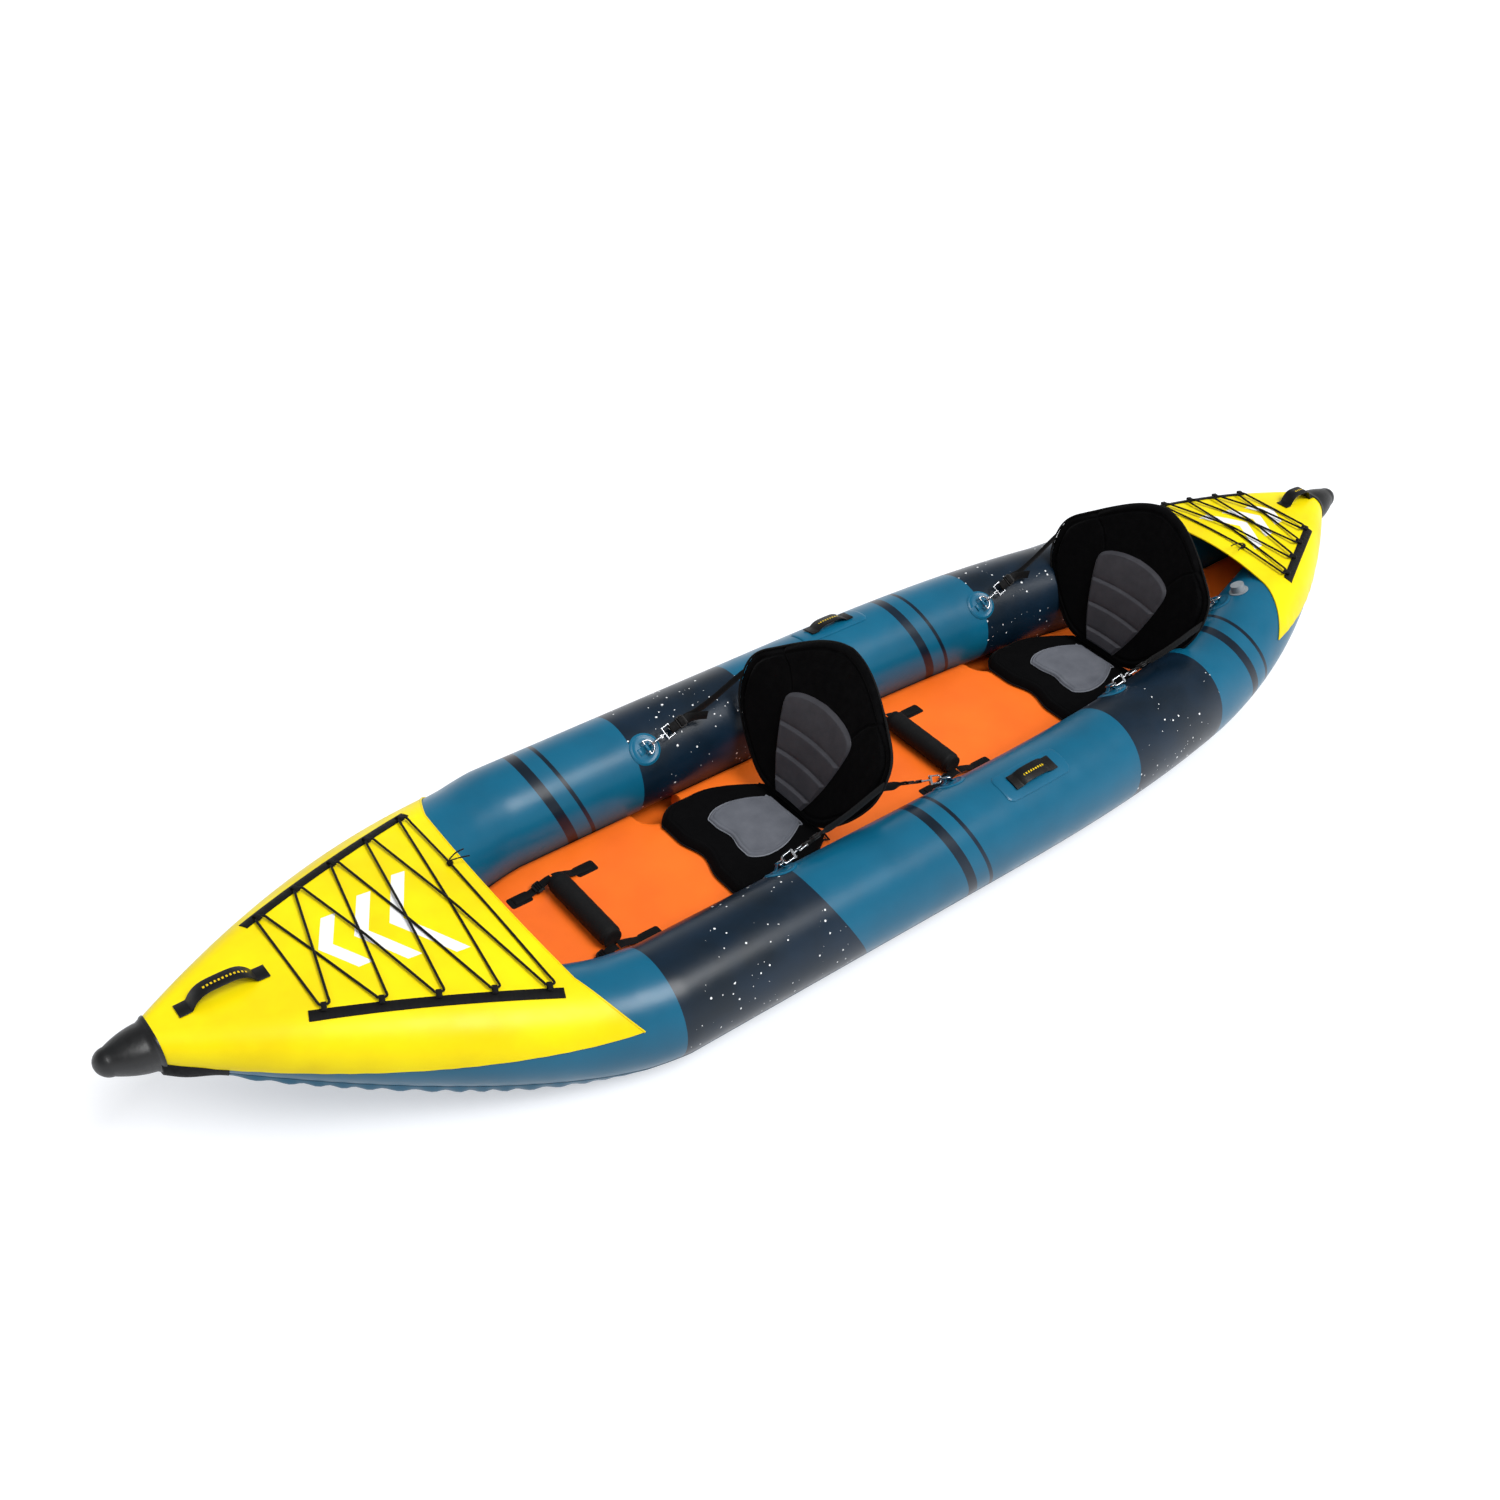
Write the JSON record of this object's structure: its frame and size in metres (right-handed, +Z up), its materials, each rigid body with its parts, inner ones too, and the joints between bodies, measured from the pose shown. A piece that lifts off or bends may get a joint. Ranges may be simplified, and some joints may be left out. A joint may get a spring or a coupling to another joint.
{
  "type": "tandem kayak",
  "caption": "Inflatable kayak for paddlers in line: tapered side tubes, drop-stitch floor, laced spray decks, strapped folding seats, foot rests and carry handles.",
  "frame": {"origin": "on the ground under the middle of the hull's length, on the centreline", "axes": "+X to the bow, +Y to port, +Z up"},
  "size_m": [4.0998, 1.04, 0.5567],
  "materials": {
    "teal_pvc": "coated fabric, soft gloss",
    "bottom_pvc": "thick coated fabric",
    "orange_pvc": "coated drop-stitch fabric",
    "yellow_pvc": "coated deck fabric",
    "black_rubber": "moulded rubber",
    "black_webbing": "woven webbing and cord",
    "black_fabric": "padded woven fabric",
    "grey_fabric": "mesh fabric",
    "black_foam": "closed-cell foam",
    "black_plastic": "moulded plastic",
    "bright_steel": "bright wire",
    "grey_plastic": "moulded plastic"
  },
  "bodies": {
    "hull": {"port_tube": "teal_pvc", "starboard_tube": "teal_pvc", "bottom_skin": "bottom_pvc", "keel_strips": "black_rubber", "floor_mat": "orange_pvc", "bow_deck": "yellow_pvc", "stern_deck": "yellow_pvc", "bow_cap": "black_rubber", "stern_cap": "black_rubber", "bow_handle": "black_rubber", "stern_handle": "black_rubber", "port_side_handle": "black_rubber", "starboard_side_handle": "black_rubber", "side_handle_patches": "teal_pvc", "bow_rails": "black_webbing", "stern_rails": "black_webbing", "bow_bungee": "black_webbing", "stern_bungee": "black_webbing", "front_seat_base": "black_fabric", "front_seat_pad": "grey_fabric", "front_seat_hinge": "black_webbing", "front_seat_straps": "black_webbing", "front_seat_buckles": "black_plastic", "rear_seat_base": "black_fabric", "rear_seat_pad": "grey_fabric", "rear_seat_hinge": "black_webbing", "rear_seat_straps": "black_webbing", "rear_seat_buckles": "black_plastic", "ring_patches": "teal_pvc", "d_rings": "bright_steel", "snap_hooks": "bright_steel", "front_foot_straps": "black_webbing", "rear_foot_straps": "black_webbing", "foot_patches": "black_rubber", "foot_buckles": "black_plastic", "valve_bodies": "grey_plastic", "port_valve_spring": "bright_steel", "starboard_valve_spring": "bright_steel", "floor_valve_spring": "bright_steel"},
    "front_backrest_body": {"front_backrest": "black_fabric", "front_backrest_insert": "grey_fabric"},
    "rear_backrest_body": {"rear_backrest": "black_fabric", "rear_backrest_insert": "grey_fabric"},
    "front_foot_rest": {"front_foot_roll": "black_foam"},
    "rear_foot_rest": {"rear_foot_roll": "black_foam"},
    "front_port_fore_gate_body": {"front_port_fore_gate": "bright_steel"},
    "front_starboard_fore_gate_body": {"front_starboard_fore_gate": "bright_steel"},
    "front_port_aft_gate_body": {"front_port_aft_gate": "bright_steel"},
    "front_starboard_aft_gate_body": {"front_starboard_aft_gate": "bright_steel"},
    "rear_port_fore_gate_body": {"rear_port_fore_gate": "bright_steel"},
    "rear_starboard_fore_gate_body": {"rear_starboard_fore_gate": "bright_steel"},
    "rear_port_aft_gate_body": {"rear_port_aft_gate": "bright_steel"},
    "rear_starboard_aft_gate_body": {"rear_starboard_aft_gate": "bright_steel"},
    "port_valve_cap_body": {"port_valve_cap": "grey_plastic"},
    "port_valve_plunger_body": {"port_valve_plunger": "grey_plastic"},
    "starboard_valve_cap_body": {"starboard_valve_cap": "grey_plastic"},
    "starboard_valve_plunger_body": {"starboard_valve_plunger": "grey_plastic"},
    "floor_valve_cap_body": {"floor_valve_cap": "grey_plastic"},
    "floor_valve_plunger_body": {"floor_valve_plunger": "grey_plastic"}
  },
  "joints": [
    {"name": "front_backrest_fold", "type": "hinge", "parent": "hull", "child": "front_backrest_body", "pos_m": [0.215, 0, 0.11], "axis": [0, 1, 0], "range_deg": [-8, 45], "deforming": ["front_seat_straps", "front_seat_buckles"]},
    {"name": "rear_backrest_fold", "type": "hinge", "parent": "hull", "child": "rear_backrest_body", "pos_m": [-0.995, 0, 0.11], "axis": [0, 1, 0], "range_deg": [-4, 45], "deforming": ["rear_seat_straps", "rear_seat_buckles"]},
    {"name": "front_foot_rest_slide", "type": "slide", "parent": "hull", "child": "front_foot_rest", "axis": [1, 0, 0], "range_m": [-0.06, 0.06], "deforming": ["front_foot_straps"]},
    {"name": "rear_foot_rest_slide", "type": "slide", "parent": "hull", "child": "rear_foot_rest", "axis": [1, 0, 0], "range_m": [-0.06, 0.06], "deforming": ["rear_foot_straps"]},
    {"name": "front_port_fore_gate_open", "type": "hinge", "parent": "hull", "child": "front_port_fore_gate_body", "pos_m": [0.44178, 0.27101, 0.27777], "axis": [0.2252, 0.7241, 0.6519], "range_deg": [0, 24], "stiffness_Nm_per_rad": 0.02, "springref_deg": -11.46},
    {"name": "front_starboard_fore_gate_open", "type": "hinge", "parent": "hull", "child": "front_starboard_fore_gate_body", "pos_m": [0.44178, -0.27101, 0.27777], "axis": [-0.2252, 0.7241, -0.6519], "range_deg": [0, 24], "stiffness_Nm_per_rad": 0.02, "springref_deg": -11.46},
    {"name": "front_port_aft_gate_open", "type": "hinge", "parent": "hull", "child": "front_port_aft_gate_body", "pos_m": [-0.03255, 0.25944, 0.27259], "axis": [-0.0481, -0.7423, -0.6684], "range_deg": [0, 24], "stiffness_Nm_per_rad": 0.02, "springref_deg": -11.46},
    {"name": "front_starboard_aft_gate_open", "type": "hinge", "parent": "hull", "child": "front_starboard_aft_gate_body", "pos_m": [-0.03255, -0.25944, 0.27259], "axis": [0.0481, -0.7423, 0.6684], "range_deg": [0, 24], "stiffness_Nm_per_rad": 0.02, "springref_deg": -11.46},
    {"name": "rear_port_fore_gate_open", "type": "hinge", "parent": "hull", "child": "rear_port_fore_gate_body", "pos_m": [-0.76848, 0.25055, 0.27779], "axis": [0.2741, 0.7147, 0.6435], "range_deg": [0, 24], "stiffness_Nm_per_rad": 0.02, "springref_deg": -11.46},
    {"name": "rear_starboard_fore_gate_open", "type": "hinge", "parent": "hull", "child": "rear_starboard_fore_gate_body", "pos_m": [-0.76848, -0.25055, 0.27779], "axis": [-0.2741, 0.7147, -0.6435], "range_deg": [0, 24], "stiffness_Nm_per_rad": 0.02, "springref_deg": -11.46},
    {"name": "rear_port_aft_gate_open", "type": "hinge", "parent": "hull", "child": "rear_port_aft_gate_body", "pos_m": [-1.23834, 0.16658, 0.29593], "axis": [0.2483, -0.7199, -0.6482], "range_deg": [0, 24], "stiffness_Nm_per_rad": 0.02, "springref_deg": -11.46},
    {"name": "rear_starboard_aft_gate_open", "type": "hinge", "parent": "hull", "child": "rear_starboard_aft_gate_body", "pos_m": [-1.23834, -0.16658, 0.29593], "axis": [-0.2483, -0.7199, 0.6482], "range_deg": [0, 24], "stiffness_Nm_per_rad": 0.02, "springref_deg": -11.46},
    {"name": "port_valve_cap_lift", "type": "slide", "parent": "hull", "child": "port_valve_cap_body", "axis": [0.224, -0.373, 0.9004], "range_m": [0, 0.06]},
    {"name": "port_valve_press", "type": "slide", "parent": "hull", "child": "port_valve_plunger_body", "axis": [-0.224, 0.373, -0.9004], "range_m": [0, 0.004], "stiffness_N_per_m": 300, "springref_m": -0.002, "deforming": ["port_valve_spring"]},
    {"name": "starboard_valve_cap_lift", "type": "slide", "parent": "hull", "child": "starboard_valve_cap_body", "axis": [0.224, 0.373, 0.9004], "range_m": [0, 0.06]},
    {"name": "starboard_valve_press", "type": "slide", "parent": "hull", "child": "starboard_valve_plunger_body", "axis": [-0.224, -0.373, -0.9004], "range_m": [0, 0.004], "stiffness_N_per_m": 300, "springref_m": -0.002, "deforming": ["starboard_valve_spring"]},
    {"name": "floor_valve_cap_lift", "type": "slide", "parent": "hull", "child": "floor_valve_cap_body", "axis": [0.2601, 0, 0.9656], "range_m": [0, 0.06]},
    {"name": "floor_valve_press", "type": "slide", "parent": "hull", "child": "floor_valve_plunger_body", "axis": [-0.2601, 0, -0.9656], "range_m": [0, 0.004], "stiffness_N_per_m": 300, "springref_m": -0.002, "deforming": ["floor_valve_spring"]}
  ]
}
